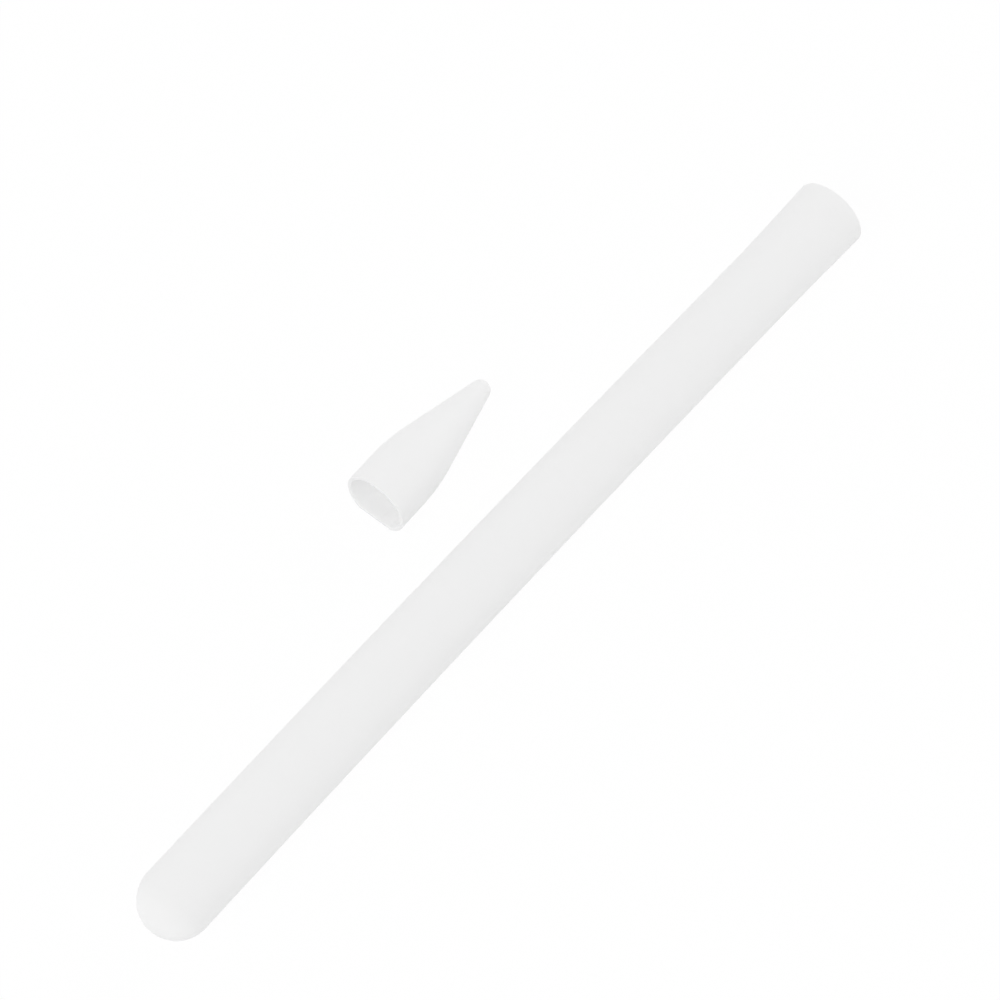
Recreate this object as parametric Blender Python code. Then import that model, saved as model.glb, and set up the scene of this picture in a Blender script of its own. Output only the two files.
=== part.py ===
"""Two-piece silicone cover for a digital stylus: a long sleeve and a short nib cap, both with one flat side.

The sleeve lies along X on its flat with its closed, domed end at -X and its flared mouth at +X.
The nib cap lies beside it on +Y, on its own flat, with its tip towards +X.
The origin is on the sleeve's flat, half way along the sleeve, and the table is z = 0.
"""

import math

import bmesh
import bpy

MM = 0.001

# The stylus that both pieces grip: a round barrel with one flat side.
BORE_RADIUS = 4.45 * MM
BORE_FLAT = 3.55 * MM  # from the axis to the flat
BORE_CORNER = 0.4 * MM  # where the flat meets the round

# Sleeve
SLEEVE_LENGTH = 144.0 * MM
SLEEVE_WALL = 0.8 * MM
MOUTH_FLARE = 0.32 * MM  # added to the radius at the mouth
MOUTH_FLARE_RUN = 15.6 * MM  # length over which the mouth opens
SLEEVE_BOW = 0.52 * MM  # how far the closed end of the soft sleeve bends away from the cap

# Nib cap
CAP_LENGTH = 25.0 * MM  # along its flat
CAP_WALL = 0.55 * MM
CAP_SKIRT = 5.1 * MM  # straight length from the mouth
CAP_SHOULDER = 6.4 * MM  # length over which the skirt rounds into the cone
CAP_MOUTH_LEAN = math.radians(3.7)  # the mouth leans back from its lower edge
CAP_TIP_RADIUS = 1.5 * MM
CAP_TIP_WALL = 0.9 * MM

# Both mouths
RIM_ROUND = 0.12 * MM  # rounding of the mouths' edges

# Where the taken-off cap lies
CAP_GAP = 8.6 * MM  # between the sides of the two pieces
CAP_AHEAD = 5.4 * MM  # from the sleeve's middle to the cap's middle
CAP_TURN = math.radians(2.0)

# Fineness of the surfaces
RING_POINTS = 40
DOME_RINGS = 7
TIP_RINGS = 5
BODY_RINGS = 8
FLARE_RINGS = 4
SHOULDER_RINGS = 5
CONE_RINGS = 4
RIM_RINGS = 2

WHITE = (0.86, 0.86, 0.86, 1.0)
MATTE = 0.55


def wall_distance(angle, radius, flat, corner):
    """Distance from the axis to the wall of a round cut by a flat, at an angle from the flat's middle."""
    if radius <= flat:
        return radius
    side = math.sqrt((radius - corner) ** 2 - (flat - corner) ** 2)
    rise = flat - corner
    angle = abs(angle)
    if angle <= math.atan2(side, flat):
        return flat / math.cos(angle)
    if angle >= math.atan2(side, rise):
        return radius
    along = side * math.sin(angle) + rise * math.cos(angle)
    return along + math.sqrt(max(along**2 - side**2 - rise**2 + corner**2, 0.0))


def section(x, radius, flat, corner, centre):
    """Points of one ring at x: a circle with its flat underneath, around the centre (y, z)."""
    points = []
    for i in range(RING_POINTS):
        angle = math.pi * (2 * i / RING_POINTS - 1)
        reach = wall_distance(angle, radius, flat, corner)
        points.append((x, centre[0] + reach * math.sin(angle), centre[1] - reach * math.cos(angle)))
    return points


def steps(first, last, count):
    """Evenly spaced values after first, up to and including last."""
    return [first + (last - first) * (i + 1) / count for i in range(count)]


def ball_stations(pole, radius, sweep, count):
    """Stations (x, radius) of a round end, from beside its pole; a positive side closes +X."""
    end, side = pole
    return [(end - side * radius * (1 - math.cos(a)), radius * math.sin(a)) for a in steps(0.0, sweep, count)]


def rim_stations(mouth, side, radius, wall):
    """Stations (x, radius, inset) over a mouth's rounded rim, from the outer wall to the inner one."""
    edge = min(RIM_ROUND, wall / 2)
    turns = [0.0] + steps(0.0, math.pi / 2, RIM_RINGS)
    level = mouth - side * edge
    outer = [(level + side * edge * math.sin(a), radius, edge * (1 - math.cos(a))) for a in turns]
    inner = [(level + side * edge * math.cos(a), radius, wall - edge * (1 - math.sin(a))) for a in turns]
    return outer + inner


def skin(name, rings, first_pole, last_pole, material):
    """One closed body: a band of faces from each ring to the next, and the end rings closed to a pole."""
    bm = bmesh.new()
    loops = [[bm.verts.new(point) for point in points] for points in rings]
    for near, far in zip(loops, loops[1:]):
        for i in range(RING_POINTS):
            bm.faces.new((near[i - 1], near[i], far[i], far[i - 1]))
    for loop, pole in ((loops[0], first_pole), (loops[-1], last_pole)):
        end = bmesh.ops.contextual_create(bm, geom=loop)["faces"]
        bmesh.ops.poke(bm, faces=end)["verts"][0].co = pole
    bmesh.ops.recalc_face_normals(bm, faces=bm.faces)
    mesh = bpy.data.meshes.new(name)
    bm.to_mesh(mesh)
    bm.free()
    mesh.shade_smooth()
    mesh.materials.append(material)
    piece = bpy.data.objects.new(name, mesh)
    bpy.context.collection.objects.link(piece)
    return piece


def silicone(name):
    """White matte silicone."""
    material = bpy.data.materials.new(name)
    material.use_nodes = True
    shader = material.node_tree.nodes["Principled BSDF"]
    shader.inputs["Base Color"].default_value = WHITE
    shader.inputs["Roughness"].default_value = MATTE
    shader.inputs["Metallic"].default_value = 0.0
    return material


def build_sleeve():
    """The long tube: dome, barrel and flared mouth outside, then the same inside, one wall further in."""
    radius = BORE_RADIUS + SLEEVE_WALL
    flat = BORE_FLAT + SLEEVE_WALL
    corner = BORE_CORNER + SLEEVE_WALL
    closed_end = -SLEEVE_LENGTH / 2
    mouth = SLEEVE_LENGTH / 2
    dome = closed_end + radius
    flare_start = mouth - MOUTH_FLARE_RUN
    edge = min(RIM_ROUND, SLEEVE_WALL / 2)

    def bow(x):
        return -SLEEVE_BOW * (2 * min(x, flare_start) / SLEEVE_LENGTH) ** 2

    def flared(x):
        return radius + MOUTH_FLARE * max(x - flare_start, 0.0) / MOUTH_FLARE_RUN

    lengths = steps(dome, flare_start, BODY_RINGS) + steps(flare_start, mouth - edge, FLARE_RINGS)[:-1]
    outside = [(x, r, 0.0) for x, r in ball_stations((closed_end, -1), radius, math.pi / 2, DOME_RINGS)]
    outside += [(x, flared(x), 0.0) for x in lengths]
    rim = rim_stations(mouth, 1, flared(mouth), SLEEVE_WALL)
    inside = [(x, flared(x), SLEEVE_WALL) for x in reversed(lengths)]
    end = (closed_end + SLEEVE_WALL, -1)
    hollow = ball_stations(end, BORE_RADIUS, math.pi / 2, DOME_RINGS)
    inside += [(x, r + SLEEVE_WALL, SLEEVE_WALL) for x, r in reversed(hollow)]

    rings = [
        section(x, r - inset, flat - inset, corner - inset, (bow(x), flat))
        for x, r, inset in outside + rim + inside
    ]
    outer_pole = (closed_end, bow(closed_end), flat)
    inner_pole = (end[0], bow(end[0]), flat)
    return skin("sleeve", rings, outer_pole, inner_pole, silicone("sleeve_silicone"))


def cap_stations(length, radius, tip):
    """Stations (x, radius) of a cap's surface from its tip to its mouth at x = 0.

    A straight skirt rounds over a shoulder into a straight cone, which runs into the ball of the tip.
    """
    centre = length - tip
    reach = centre - CAP_SKIRT - CAP_SHOULDER / 2
    slant = math.acos(tip / math.hypot(radius, reach)) - math.atan2(reach, radius)
    slope = math.tan(slant)
    cone_start = CAP_SKIRT + CAP_SHOULDER
    cone_end = centre + tip * math.sin(slant)

    def radius_at(x):
        past = max(x - CAP_SKIRT, 0.0)
        if past < CAP_SHOULDER:
            return radius - slope * past**2 / (2 * CAP_SHOULDER)
        return radius - slope * (past - CAP_SHOULDER / 2)

    lengths = steps(cone_end, cone_start, CONE_RINGS) + steps(cone_start, CAP_SKIRT, SHOULDER_RINGS)
    ball = ball_stations((length, 1), tip, math.pi / 2 - slant, TIP_RINGS)
    return ball + [(x, radius_at(x)) for x in lengths]


def build_cap():
    """The nib cap, on an empty that stands on its axis half way along it."""
    radius = BORE_RADIUS + CAP_WALL
    flat = BORE_FLAT + CAP_WALL
    corner = BORE_CORNER + CAP_WALL
    bottom = CAP_LENGTH - CAP_TIP_WALL
    shift = -CAP_LENGTH / 2

    outside = [(x, r, 0.0) for x, r in cap_stations(CAP_LENGTH, radius, CAP_TIP_RADIUS)]
    rim = rim_stations(0.0, -1, radius, CAP_WALL)
    hollow = cap_stations(bottom, BORE_RADIUS, CAP_TIP_RADIUS - CAP_WALL)
    inside = [(x, r + CAP_WALL, CAP_WALL) for x, r in reversed(hollow)]

    def leaned(point):
        x, y, z = point
        share = max(1.0 - (x - shift) / CAP_SKIRT, 0.0)
        return (x + math.tan(CAP_MOUTH_LEAN) * (z + flat) * share, y, z)

    rings = [
        [leaned(point) for point in section(x + shift, r - inset, flat - inset, corner - inset, (0.0, 0.0))]
        for x, r, inset in outside + rim + inside
    ]
    outer_pole = (CAP_LENGTH + shift, 0.0, 0.0)
    inner_pole = (bottom + shift, 0.0, 0.0)
    cap = skin("nib_cap", rings, outer_pole, inner_pole, silicone("cap_silicone"))

    seat = bpy.data.objects.new("cap_axis", None)
    bpy.context.collection.objects.link(seat)
    seat.location = (CAP_AHEAD, BORE_RADIUS + SLEEVE_WALL + CAP_GAP + radius, flat)
    seat.rotation_euler = (0.0, 0.0, CAP_TURN)
    cap.parent = seat
    return cap


def main():
    for old in list(bpy.data.objects):
        bpy.data.objects.remove(old, do_unlink=True)
    build_sleeve()
    build_cap()


main()
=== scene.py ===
"""Looks of a white silicone stylus cover: a long flat-sided sleeve and the nib cap taken off it.

Both pieces are rings carried along an axis, in metres, in the frame of the solids: +X runs along
the sleeve to its mouth, +Y points to the cap's side and +Z up from the table that both lie on.
"""

import logging
import math
from dataclasses import dataclass, field
from enum import Enum
from typing import Any, Iterable, Optional, Union

import bpy
import numpy as np
from mathutils import Matrix, Vector


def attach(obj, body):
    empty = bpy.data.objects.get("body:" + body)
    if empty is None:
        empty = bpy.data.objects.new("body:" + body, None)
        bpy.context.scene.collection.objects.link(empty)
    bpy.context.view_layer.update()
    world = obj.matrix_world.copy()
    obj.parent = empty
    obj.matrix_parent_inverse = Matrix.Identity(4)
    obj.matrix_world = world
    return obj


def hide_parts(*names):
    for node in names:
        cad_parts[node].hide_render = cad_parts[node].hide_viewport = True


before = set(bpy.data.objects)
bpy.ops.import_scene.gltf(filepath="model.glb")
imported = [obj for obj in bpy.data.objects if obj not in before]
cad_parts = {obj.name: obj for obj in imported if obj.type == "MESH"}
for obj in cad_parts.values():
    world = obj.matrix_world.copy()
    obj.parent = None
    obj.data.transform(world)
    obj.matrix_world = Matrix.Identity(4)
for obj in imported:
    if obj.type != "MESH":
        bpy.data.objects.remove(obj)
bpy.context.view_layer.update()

Array = np.ndarray
Colour = tuple[float, float, float]
MM = 0.001
WATT_LEVEL = math.pi  # watts for each square metre of a lamp whose face shines at a level of 1
IMAGE_SIDE = 1000  # pixels
SENSOR_MM = 36.0
WHITE_BOUNCES = 24  # white walls pass light on many times before it fades
RAYS = ("Is Camera Ray", "Is Glossy Ray", "Is Transmission Ray")
NOISE_LAYERS = 2.0
NOISE_ROUGHNESS = 0.55
NOISE_MIDDLE = 0.5
# gain of the painted shade mask on the rim
RIM_SHADE_GAIN = 4.0  # brings share times one minus share to 1 half way through the wall
LEAST_COSINE = 0.1  # keeps the flat's formula finite past its corners, where it isn't used
# the inner_side share also places the painted light on the inner wall and the painted shade on the
# rim
INNER_SIDE = "inner_side"  # 0 on the outer wall, 1 on the inner wall

logging.basicConfig(level=logging.INFO, format="%(message)s")
log = logging.getLogger("stylus_cover")


class Wall(Enum):
    """The two sides of a moulded wall."""

    OUTSIDE = "outside"
    INSIDE = "inside"


class Socket:
    """A value in a node tree, on which arithmetic adds Math nodes."""

    def __init__(self, sheet: "NodeSheet", socket: Optional[bpy.types.NodeSocket]) -> None:
        """Wraps one output socket.

        Args:
            sheet: the tree that new nodes go to.
            socket: the output that holds the value, or none after a node that ends the tree.
        """
        self.sheet = sheet
        self.socket = socket

    def math(self, operation: str, *values: "Term") -> "Socket":
        """Adds one Math node.

        Args:
            operation: the node's operation.
            values: its inputs, in order.

        Returns:
            The node's result.
        """
        return self.sheet.node("ShaderNodeMath", {"operation": operation}, dict(enumerate(values)))

    def __add__(self, other: "Term") -> "Socket":
        """Sum."""
        return self.math("ADD", self, other)

    def __radd__(self, other: "Term") -> "Socket":
        """Sum, from the right."""
        return self.math("ADD", other, self)

    def __sub__(self, other: "Term") -> "Socket":
        """Difference."""
        return self.math("SUBTRACT", self, other)

    def __rsub__(self, other: "Term") -> "Socket":
        """Difference, from the right."""
        return self.math("SUBTRACT", other, self)

    def __mul__(self, other: "Term") -> "Socket":
        """Product."""
        return self.math("MULTIPLY", self, other)

    def __rmul__(self, other: "Term") -> "Socket":
        """Product, from the right."""
        return self.math("MULTIPLY", other, self)

    def __truediv__(self, other: "Term") -> "Socket":
        """Quotient."""
        return self.math("DIVIDE", self, other)

    def __rtruediv__(self, other: "Term") -> "Socket":
        """Quotient, from the right."""
        return self.math("DIVIDE", other, self)

    def at_least(self, other: "Term") -> "Socket":
        """The larger of two values."""
        return self.math("MAXIMUM", self, other)


Term = Union[Socket, float]


class NodeSheet:
    """One node tree, with a single way to add a node."""

    def __init__(self, tree: bpy.types.NodeTree) -> None:
        """Starts from an emptied tree.

        Args:
            tree: the node tree of a material or a world.
        """
        self.tree = tree
        tree.nodes.clear()

    def node(
        self, kind: str, settings: dict[str, Any], sockets: dict[Any, Any], output: Any = 0
    ) -> Socket:
        """Adds a node, sets it up and feeds its inputs.

        Args:
            kind: the node's type name.
            settings: its own properties, set before its inputs.
            sockets: values or links for its inputs, by name or place.
            output: the output to hand back, by name or place.

        Returns:
            That output, wrapped.
        """
        made = self.tree.nodes.new(kind)
        for name, value in settings.items():
            setattr(made, name, value)
        for name, value in sockets.items():
            if isinstance(value, Socket):
                self.tree.links.new(value.socket, made.inputs[name])
            else:
                made.inputs[name].default_value = value
        found = made.outputs[output] if len(made.outputs) else None
        return Socket(self, found)

    def blend(self, share: Socket, low: Union[Socket, Colour], high: Colour) -> Socket:
        """A colour between two others.

        Args:
            share: 0 for the first colour, 1 for the second.
            low: the first colour.
            high: the second colour.

        Returns:
            The mixed colour.
        """
        start = low if isinstance(low, Socket) else (*low, 1.0)
        sockets = {0: share, 6: start, 7: (*high, 1.0)}
        return self.node("ShaderNodeMix", {"data_type": "RGBA"}, sockets, 2)

    def noise(self, place: Socket, spacing: float) -> Socket:
        """Cloudy noise from 0 to 1.

        Args:
            place: the coordinates that it reads.
            spacing: the width of its patches, in metres.

        Returns:
            The noise.
        """
        sockets = {
            "Vector": place,
            "Scale": 1.0 / spacing,
            "Detail": NOISE_LAYERS,
            "Roughness": NOISE_ROUGHNESS,
        }
        return self.node("ShaderNodeTexNoise", {"noise_dimensions": "3D"}, sockets, "Fac")


@dataclass(frozen=True)
class Silicone:
    """White matte silicone from a fine-blasted mould.

    It has a soft grain, faint clouding and a hairline mould seam. Its inner wall is painted whiter,
    painted light for light that comes through the thin wall, and its rims carry painted shade.
    """

    name: str
    seam_height: float
    pale: Colour = (0.955, 0.955, 0.955)
    deep: Colour = (0.94, 0.94, 0.94)
    # painted light: a whiter inner wall that stands in for light coming through the thin wall
    painted_inner_light: Colour = (0.985, 0.985, 0.985)
    # painted shade: a darker rim tone that keeps the lit rim of the mouth from reading bright
    painted_rim_shade: Colour = (0.89, 0.89, 0.89)
    rough: float = 0.56
    rough_spread: float = 0.12
    grain_spacing: float = 0.12 * MM
    grain_height: float = 0.016 * MM
    cloud_spacing: float = 3.5 * MM
    cloud_height: float = 0.006 * MM
    seam_half_width: float = 0.07 * MM
    seam_rise: float = 0.012 * MM
    seam_gloss: float = 0.08
    refraction: float = 1.41
    sheer: float = 0.15
    sheer_depth: float = 0.6 * MM

    def material(self) -> bpy.types.Material:
        """Builds the material.

        The height of the bump is the grain plus the clouding plus a seam: a ridge that falls off as
        one minus the square of the distance from the height of the mould's parting plane. The
        colour goes from the outer to the inner wall by the share of the wall passed; the inner
        wall's whiter tone is painted light for light that comes through the thin wall. The rim's
        painted shade comes in as four times that share times what is left of it, so it is full half
        way through the wall and gone on both sides.

        Returns:
            The finished material.
        """
        made = bpy.data.materials.new(self.name)
        made.use_nodes = True
        sheet = NodeSheet(made.node_tree)
        place = sheet.node("ShaderNodeTexCoord", {}, {}, "Object")
        grain = sheet.noise(place, self.grain_spacing)
        cloud = sheet.noise(place, self.cloud_spacing)
        inner = sheet.node("ShaderNodeAttribute", {"attribute_name": INNER_SIDE}, {}, "Fac")
        # painted shade mask on the rim, full half way through the wall
        rim = inner * (1.0 - inner) * RIM_SHADE_GAIN
        height = sheet.node("ShaderNodeSeparateXYZ", {}, {"Vector": place}, "Z")
        away = (height - self.seam_height) / self.seam_half_width
        seam = (1.0 - away * away).at_least(0.0)
        relief = grain * self.grain_height + cloud * self.cloud_height + seam * self.seam_rise
        bump = {"Strength": 1.0, "Distance": 1.0, "Height": relief}
        normal = sheet.node("ShaderNodeBump", {}, bump)
        uneven = (cloud - NOISE_MIDDLE) + (grain - NOISE_MIDDLE)
        rough = self.rough + uneven * self.rough_spread - seam * self.seam_gloss
        # the outer wall's clouded tone, then painted light towards the inner wall
        walls = sheet.blend(inner, sheet.blend(cloud, self.deep, self.pale), self.painted_inner_light)
        sockets = {
            # painted shade laid over the rim
            "Base Color": sheet.blend(rim, walls, self.painted_rim_shade),
            "Roughness": rough,
            "Normal": normal,
            "IOR": self.refraction,
            "Subsurface Weight": self.sheer,
            "Subsurface Radius": (1.0, 1.0, 1.0),
            "Subsurface Scale": self.sheer_depth,
        }
        shader = sheet.node("ShaderNodeBsdfPrincipled", {}, sockets, "BSDF")
        sheet.node("ShaderNodeOutputMaterial", {}, {"Surface": shader})
        return made


@dataclass(frozen=True)
class TableWhite:
    """Plain white table that the camera sees near white, with a faint shadow left on it."""

    name: str = "table_white"
    tone: float = 0.95
    shown: float = 1.005
    shown_share: float = 0.95

    def material(self) -> bpy.types.Material:
        """Builds the table's material: matte white, mostly plain white where it is looked at.

        Returns:
            The finished material.
        """
        made = bpy.data.materials.new(self.name)
        made.use_nodes = True
        sheet = NodeSheet(made.node_tree)
        matte = sheet.node("ShaderNodeBsdfDiffuse", {}, {"Color": (self.tone,) * 3 + (1.0,)})
        plain = sheet.node("ShaderNodeEmission", {}, {"Color": (1.0,) * 4, "Strength": self.shown})
        share = looked_at(sheet) * self.shown_share
        surface = sheet.node("ShaderNodeMixShader", {}, {0: share, 1: matte, 2: plain})
        sheet.node("ShaderNodeOutputMaterial", {}, {"Surface": surface})
        return made


def looked_at(sheet: NodeSheet) -> Socket:
    """Where the camera sees a surface, straight or by reflection.

    Args:
        sheet: the tree to work in.

    Returns:
        1 on such rays and 0 on others.
    """
    rays = [sheet.node("ShaderNodeLightPath", {}, {}, name) for name in RAYS]
    seen = rays[0]
    for ray in rays[1:]:
        seen = seen.at_least(ray)
    return seen


@dataclass(frozen=True)
class Profile:
    """Stations along an axis: place, outer wall radius, and how far in from it a ring lies."""

    x: Array
    radius: Array
    inset: Array

    @staticmethod
    def of(x: Array, radius: Union[Array, float], inset: Union[Array, float]) -> "Profile":
        """Makes a profile whose radius or inset may be one number for all stations."""
        return Profile(x, np.broadcast_to(radius, x.shape), np.broadcast_to(inset, x.shape))

    @staticmethod
    def joined(pieces: Iterable["Profile"]) -> "Profile":
        """Puts profiles end to end.

        Args:
            pieces: the profiles, in order.

        Returns:
            One profile with all their stations.
        """
        parts = list(pieces)
        names = ("x", "radius", "inset")
        return Profile(*(np.concatenate([getattr(part, name) for part in parts]) for name in names))

    def reversed(self) -> "Profile":
        """The same stations from last to first."""
        return Profile(self.x[::-1], self.radius[::-1], self.inset[::-1])


@dataclass(frozen=True)
class FlatSided:
    """The section that both pieces are moulded round: a circle with one flat and round corners."""

    radius: float = 4.45 * MM
    flat: float = 3.55 * MM
    corner: float = 0.4 * MM

    def reach(self, angle: Array, profile: Profile, wall: float) -> Array:
        """Distance from the axis to the ring's wall.

        On the flat it is the flat's distance over the cosine of the angle. On a corner it is the
        far crossing of the ray with the corner's circle. Elsewhere it is the radius, and a ring no
        wider than the flat is a circle.

        Args:
            angle: angles from straight down, one per point of a ring.
            profile: the stations.
            wall: how far the outer wall lies outside the bore.

        Returns:
            One distance for each station and angle.
        """
        inset = profile.inset[:, None]
        radius = profile.radius[:, None] - inset
        flat = self.flat + wall - inset
        corner = self.corner + wall - inset
        turn = np.abs(angle)[None, :]
        wide = np.maximum(radius, flat)
        rise = flat - corner
        side = np.sqrt((wide - corner) ** 2 - rise**2)
        along = side * np.sin(turn) + rise * np.cos(turn)
        bend = along + np.sqrt(np.maximum(along**2 - side**2 - rise**2 + corner**2, 0.0))
        level = flat / np.maximum(np.cos(turn), LEAST_COSINE)
        cut = np.where(turn <= np.arctan2(side, flat), level, bend)
        whole = np.where(turn >= np.arctan2(side, rise), wide, cut)
        return np.where(radius <= flat, radius, whole)


@dataclass
class MouldedPiece:
    """What both pieces share: rings of one section round an axis, closed at two poles."""

    name: str
    body: str
    slot: str
    wall: float
    rim_round: float
    bore: FlatSided = field(default_factory=FlatSided)
    ring_points: int = 240
    rim_points: int = 9

    @property
    def axis_height(self) -> float:
        """Height of the axis over the table, which the flat lies on."""
        return self.bore.flat + self.wall

    @property
    def outer_radius(self) -> float:
        """Radius of the outside."""
        return self.bore.radius + self.wall

    def angles(self) -> Array:
        """Angles round a ring from straight down, anticlockwise seen from +X."""
        return np.linspace(-math.pi, math.pi, self.ring_points, endpoint=False)

    def rim(self, mouth: float, side: float, radius: float) -> Profile:
        """The mouth's rim from outside to inside: two quarter circles with a straight band between.

        Args:
            mouth: where the rim ends.
            side: +1 if the mouth opens to +X, otherwise -1.
            radius: outer radius at the mouth.

        Returns:
            The rim's stations.
        """
        edge = min(self.rim_round, self.wall / 2)
        turn = np.linspace(0.0, math.pi / 2, self.rim_points)
        level = mouth - side * edge
        sine, cosine = np.sin(turn), np.cos(turn)
        outer = Profile.of(level + side * edge * sine, radius, edge * (1 - cosine))
        inner = Profile.of(level + side * edge * cosine, radius, self.wall - edge * (1 - sine))
        return Profile.joined((outer, inner))

    def rings(self, profile: Profile, sway: Array) -> Array:
        """Carries the section along the profile.

        A point lies at the station's x, at sway plus reach times the sine of its angle in y, and at
        minus reach times the cosine in z.

        Args:
            profile: the stations.
            sway: sideways shift of each station's centre.

        Returns:
            Points by station, angle and axis, with the axis at z = 0.
        """
        angle = self.angles()
        reach = self.bore.reach(angle, profile, self.wall)
        x = np.broadcast_to(profile.x[:, None], reach.shape)
        y = sway[:, None] + reach * np.sin(angle)
        return np.stack([x, y, -reach * np.cos(angle)], axis=-1)

    def make(self, rings: Array, poles: Array, inset: Array, finish: Silicone) -> bpy.types.Object:
        """Makes the closed mesh from its rings, gives it its finish and ties it to its solid.

        Each ring is joined to the next by a band of four-sided faces, and the first and the last
        ring to a pole by a fan.

        Args:
            rings: points by ring, place in the ring and axis.
            poles: the two points that close the first and the last ring.
            inset: how far in from the outer wall each ring lies.
            finish: the silicone it is made of.

        Returns:
            The finished piece.
        """
        count, around, _ = rings.shape
        here = np.arange(count * around).reshape(count, around)
        ahead = np.roll(here, -1, axis=1)
        bands = np.stack([here[:-1], ahead[:-1], ahead[1:], here[1:]], axis=-1).reshape(-1, 4)
        first = np.full(around, count * around)
        fans = np.concatenate(
            [
                np.stack([ahead[0], here[0], first], axis=-1),
                np.stack([here[-1], ahead[-1], first + 1], axis=-1),
            ]
        )
        points = np.concatenate([rings.reshape(-1, 3), poles])
        mesh = bpy.data.meshes.new(self.name)
        mesh.from_pydata(points.tolist(), [], bands.tolist() + fans.tolist())
        mesh.shade_smooth()
        # share of the wall passed, which places the painted inner light and the painted rim shade
        depth = np.concatenate([np.repeat(inset, around), inset[[0, -1]]]) / self.wall
        inner_side = mesh.attributes.new(INNER_SIDE, "FLOAT", "POINT")
        inner_side.data.foreach_set("value", depth.astype(np.float32))
        mesh.materials.append(finish.material())
        piece = bpy.data.objects.new(self.name, mesh)
        bpy.context.collection.objects.link(piece)
        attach(piece, self.body)
        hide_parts(self.body)
        return piece


def arc(end: float, side: float, radius: float, sweep: float, count: int) -> tuple[Array, Array]:
    """A ball's stations from beside its pole.

    x steps back by the radius times one minus the cosine of the angle, and the station's radius is
    the ball's times the sine.

    Args:
        end: where the pole lies.
        side: +1 if the ball closes +X, otherwise -1.
        radius: the ball's radius.
        sweep: the angle from the pole to the last station.
        count: how many stations.

    Returns:
        The stations' x and radius.
    """
    turn = np.linspace(0.0, sweep, count + 1)[1:]
    return end - side * radius * (1 - np.cos(turn)), radius * np.sin(turn)


@dataclass
class Sleeve(MouldedPiece):
    """The long tube over the stylus's barrel: a domed end, a straight barrel and a flared mouth."""

    name: str = "silicone_sleeve"
    body: str = "sleeve"
    slot: str = "sleeve_silicone"
    wall: float = 0.8 * MM
    rim_round: float = 0.1 * MM
    length: float = 144.0 * MM
    flare: float = 0.32 * MM
    flare_run: float = 15.6 * MM
    flare_power: float = 1.15
    bow: float = 0.52 * MM
    dome_rings: int = 40
    barrel_rings: int = 110
    flare_rings: int = 30

    def sway(self, x: Array) -> Array:
        """Sideways bend, by the square of the distance from the middle, and even over the flare."""
        return -self.bow * (2 * np.minimum(x, self.length / 2 - self.flare_run) / self.length) ** 2

    def outer(self, x: Array) -> Array:
        """Outer radius along the barrel, which opens over the last stretch before the mouth."""
        past = np.clip((x - self.length / 2 + self.flare_run) / self.flare_run, 0.0, 1.0)
        return self.outer_radius + self.flare * past**self.flare_power

    def profile(self) -> Profile:
        """Dome, barrel, flare and rim outside, then the same back inside.

        Returns:
            The sleeve's stations.
        """
        closed, mouth = -self.length / 2, self.length / 2
        dome = closed + self.outer_radius
        edge = min(self.rim_round, self.wall / 2)
        barrel = np.linspace(dome, mouth - self.flare_run, self.barrel_rings)[1:]
        opening = np.linspace(mouth - self.flare_run, mouth - edge, self.flare_rings)[1:-1]
        run = np.concatenate([barrel, opening])
        quarter = math.pi / 2
        x, radius = arc(closed, -1.0, self.outer_radius, quarter, self.dome_rings)
        hollow_x, hollow = arc(closed + self.wall, -1.0, self.bore.radius, quarter, self.dome_rings)
        along = self.outer(run)
        rim = self.rim(mouth, 1.0, float(self.outer(np.array(mouth))))
        stretches = (
            Profile.of(x, radius, 0.0),
            Profile.of(run, along, 0.0),
            rim,
            Profile.of(run, along, self.wall).reversed(),
            Profile.of(hollow_x, hollow + self.wall, self.wall).reversed(),
        )
        return Profile.joined(stretches)

    def build(self) -> bpy.types.Object:
        """Builds the sleeve on its flat.

        Returns:
            The finished sleeve.
        """
        profile = self.profile()
        lift = np.array([0.0, 0.0, self.axis_height])
        rings = self.rings(profile, self.sway(profile.x)) + lift
        ends = np.array([-self.length / 2, -self.length / 2 + self.wall])
        poles = np.stack([ends, self.sway(ends), np.zeros(2)], axis=-1) + lift
        finish = Silicone("sleeve_silicone_looks", self.axis_height)
        return self.make(rings, poles, profile.inset, finish)


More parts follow.
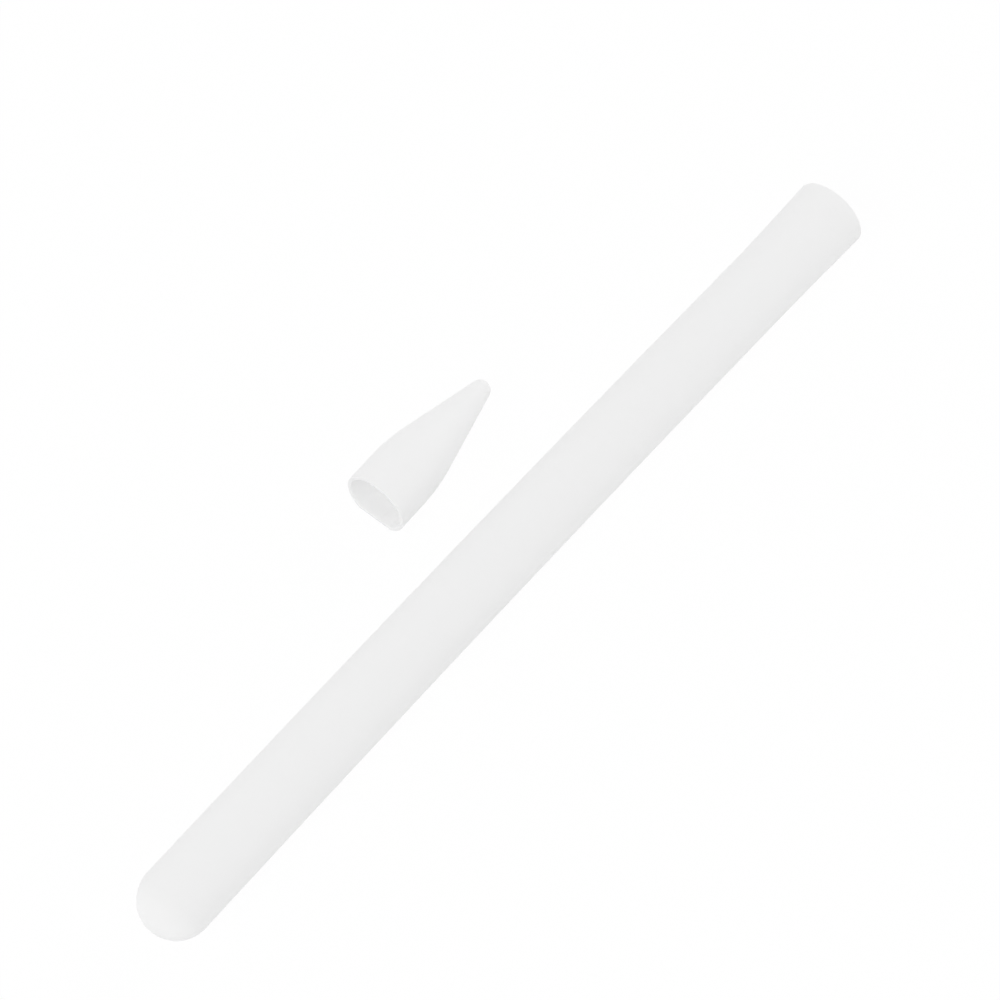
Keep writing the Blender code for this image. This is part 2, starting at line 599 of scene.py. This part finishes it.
@dataclass
class NibCap(MouldedPiece):
    """The short cap over the stylus's nib: a straight skirt, a shoulder, a cone and a ball tip."""

    name: str = "silicone_nib_cap"
    body: str = "nib_cap"
    slot: str = "cap_silicone"
    wall: float = 0.55 * MM
    rim_round: float = 0.12 * MM
    length: float = 25.0 * MM
    skirt: float = 5.1 * MM
    shoulder: float = 6.4 * MM
    mouth_lean: float = math.radians(3.7)
    tip: float = 1.5 * MM
    tip_wall: float = 0.9 * MM
    middle: tuple[float, float] = (5.4 * MM, 18.85 * MM)
    turn: float = math.radians(2.0)
    tip_rings: int = 26
    cone_rings: int = 36
    shoulder_rings: int = 30
    skirt_rings: int = 16

    def shell(self, side: Wall) -> Profile:
        """One surface of the cap from its mouth, at x = 0, to its tip.

        The radius stays on the skirt, falls with the square of the distance over the shoulder, and
        then falls evenly until the cone touches the tip's ball.

        Args:
            side: the outside or the inside.

        Returns:
            The surface's stations.
        """
        inset = self.wall if side is Wall.INSIDE else 0.0
        end = self.length - (self.tip_wall if side is Wall.INSIDE else 0.0)
        radius, tip = self.outer_radius - inset, self.tip - inset
        centre = end - tip
        run = centre - self.skirt - self.shoulder / 2
        slant = math.acos(tip / math.hypot(radius, run)) - math.atan2(run, radius)
        slope = math.tan(slant)
        cone = self.skirt + self.shoulder
        stretches = (
            np.linspace(0.0, self.skirt, self.skirt_rings)[1:],
            np.linspace(self.skirt, cone, self.shoulder_rings)[1:],
            np.linspace(cone, centre + tip * math.sin(slant), self.cone_rings)[1:],
        )
        x = np.concatenate(stretches)
        past = np.maximum(x - self.skirt, 0.0)
        rounded, straight = past**2 / (2 * self.shoulder), past - self.shoulder / 2
        drop = np.where(past < self.shoulder, rounded, straight)
        ball_x, ball = arc(end, 1.0, tip, math.pi / 2 - slant, self.tip_rings)
        body = Profile.of(x, radius - slope * drop + inset, inset)
        return Profile.joined((body, Profile.of(ball_x[-2::-1], ball[-2::-1] + inset, inset)))

    def build(self) -> bpy.types.Object:
        """Builds the cap on its flat, where it lies beside the sleeve.

        Returns:
            The finished cap.
        """
        inside, outside = self.shell(Wall.INSIDE), self.shell(Wall.OUTSIDE)
        rim = self.rim(0.0, -1.0, self.outer_radius)
        profile = Profile.joined((inside.reversed(), rim.reversed(), outside))
        rings = self.slanted(self.rings(profile, np.zeros_like(profile.x)))
        ends = np.array([[self.length - self.tip_wall, 0.0, 0.0], [self.length, 0.0, 0.0]])
        half = np.array([self.length / 2, 0.0, 0.0])
        finish = Silicone("cap_silicone_looks", self.axis_height)
        return self.make(self.laid(rings - half), self.laid(ends - half), profile.inset, finish)

    def slanted(self, rings: Array) -> Array:
        """Sets the mouth back towards its top.

        A point moves along the axis by its height over the flat times the tangent of the mouth's
        lean, in full at the mouth and less and less along the skirt.

        Args:
            rings: points with the mouth at x = 0 and the axis at z = 0.

        Returns:
            The same points with a leaning mouth.
        """
        share = np.clip(1.0 - rings[..., 0] / self.skirt, 0.0, 1.0)
        back = math.tan(self.mouth_lean) * (rings[..., 2] + self.axis_height) * share
        return rings + back[..., None] * np.array([1.0, 0.0, 0.0])

    def laid(self, points: Array) -> Array:
        """Turns points about the upright and carries them to where the cap lies.

        Args:
            points: points with the cap's middle at the origin.

        Returns:
            The same points in place.
        """
        cosine, sine = math.cos(self.turn), math.sin(self.turn)
        spin = np.array([[cosine, sine, 0.0], [-sine, cosine, 0.0], [0.0, 0.0, 1.0]])
        return points @ spin + np.array([*self.middle, self.axis_height])


@dataclass(frozen=True)
class Softbox:
    """One large soft lamp that faces the object."""

    name: str
    place: tuple[float, float, float]
    side: float
    level: float

    def build(self, aim: Vector) -> bpy.types.Object:
        """Hangs the lamp.

        Args:
            aim: the point that it faces.

        Returns:
            The lamp.
        """
        lamp = bpy.data.lights.new(self.name, "AREA")
        lamp.shape = "SQUARE"
        lamp.size = self.side
        lamp.energy = self.level * WATT_LEVEL * self.side**2
        made = bpy.data.objects.new(self.name, lamp)
        made.location = self.place
        made.rotation_euler = (aim - Vector(self.place)).to_track_quat("-Z", "Y").to_euler()
        bpy.context.collection.objects.link(made)
        return made


@dataclass
class Studio:
    """White table, white surroundings and soft lamps."""

    table_side: float = 6.0
    table_drop: float = 0.05 * MM
    sky: float = 0.638
    table: TableWhite = field(default_factory=TableWhite)
    lamps: tuple[Softbox, ...] = (
        Softbox("high_end_softbox", (-0.62, 0.0, 0.75), 0.6, 1.18),
        Softbox("end_softbox", (-0.9, 0.0, 0.35), 0.6, 0.8),
        Softbox("mouth_softbox", (0.9, 0.0, 0.35), 0.6, 1.72),
        Softbox("far_softbox", (0.0, 0.9, 0.35), 0.6, 0.79),
        Softbox("near_softbox", (0.1, -0.85, 0.35), 0.6, 0.44),
        Softbox("high_near_softbox", (0.0, -0.62, 0.75), 0.6, 0.33),
    )

    def build(self) -> None:
        """Lays the table, lights the surroundings and hangs the lamps."""
        half = self.table_side / 2
        corners = np.array([[-half, -half], [half, -half], [half, half], [-half, half]])
        points = np.column_stack([corners, np.full(4, -self.table_drop)])
        mesh = bpy.data.meshes.new("table_top")
        mesh.from_pydata(points.tolist(), [], [(0, 1, 2, 3)])
        mesh.materials.append(self.table.material())
        top = bpy.data.objects.new("table_top", mesh)
        bpy.context.collection.objects.link(top)
        self.surroundings()
        for lamp in self.lamps:
            lamp.build(Vector((0.0, 0.0, 0.0)))

    def surroundings(self) -> None:
        """Even white light from all sides, plain white where it is looked at."""
        world = bpy.data.worlds.new("white_surroundings")
        bpy.context.scene.world = world
        world.use_nodes = True
        sheet = NodeSheet(world.node_tree)
        level = self.sky + looked_at(sheet) * (1.0 - self.sky)
        light = sheet.node("ShaderNodeBackground", {}, {"Color": (1.0,) * 4, "Strength": level})
        sheet.node("ShaderNodeOutputWorld", {}, {"Surface": light})


@dataclass(frozen=True)
class Viewpoint:
    """The photograph's camera: its lean from straight above, its roll and how far away it is."""

    aim: tuple[float, float] = (6.5411 * MM, 7.1093 * MM)
    distance: float = 420.262 * MM
    lean_back: float = math.radians(20.5685)
    lean_side: float = math.radians(-18.5795)
    roll: float = math.radians(46.0761)
    focal_pixels: float = 3000.3
    nearest: float = 10.0 * MM

    def build(self) -> bpy.types.Object:
        """Sets up the camera.

        The way to the camera leans back along the sleeve and then to its side. The picture's right
        is the sleeve's own direction in the picture, turned by the roll.

        Returns:
            The camera.
        """
        toward = Vector(
            (
                -math.sin(self.lean_back),
                math.sin(self.lean_side) * math.cos(self.lean_back),
                math.cos(self.lean_side) * math.cos(self.lean_back),
            )
        )
        ahead = Vector((1.0, 0.0, 0.0))
        ahead = (ahead - toward * ahead.dot(toward)).normalized()
        beside = ahead.cross(toward)
        right = ahead * math.cos(self.roll) + beside * math.sin(self.roll)
        up = ahead * math.sin(self.roll) - beside * math.cos(self.roll)
        spot = Vector((*self.aim, 0.0)) + toward * self.distance
        lens = bpy.data.cameras.new("photo_camera")
        lens.sensor_width = SENSOR_MM
        lens.lens = self.focal_pixels * SENSOR_MM / IMAGE_SIDE
        lens.clip_start = self.nearest
        made = bpy.data.objects.new("photo_camera", lens)
        turned = Matrix((right, up, toward)).transposed().to_4x4()
        made.matrix_world = Matrix.Translation(spot) @ turned
        bpy.context.collection.objects.link(made)
        bpy.context.scene.camera = made
        return made


def main() -> None:
    """Builds the pieces, the studio and the camera, and logs each piece's face count."""
    scene = bpy.context.scene
    scene.view_settings.view_transform = "Standard"
    scene.cycles.max_bounces = WHITE_BOUNCES
    scene.cycles.diffuse_bounces = WHITE_BOUNCES
    Viewpoint().build()
    for maker in (Sleeve(), NibCap()):
        piece = maker.build()
        log.info("%s: %d faces on body %s", piece.name, len(piece.data.polygons), maker.body)
    Studio().build()


if __name__ == "__main__":
    main()
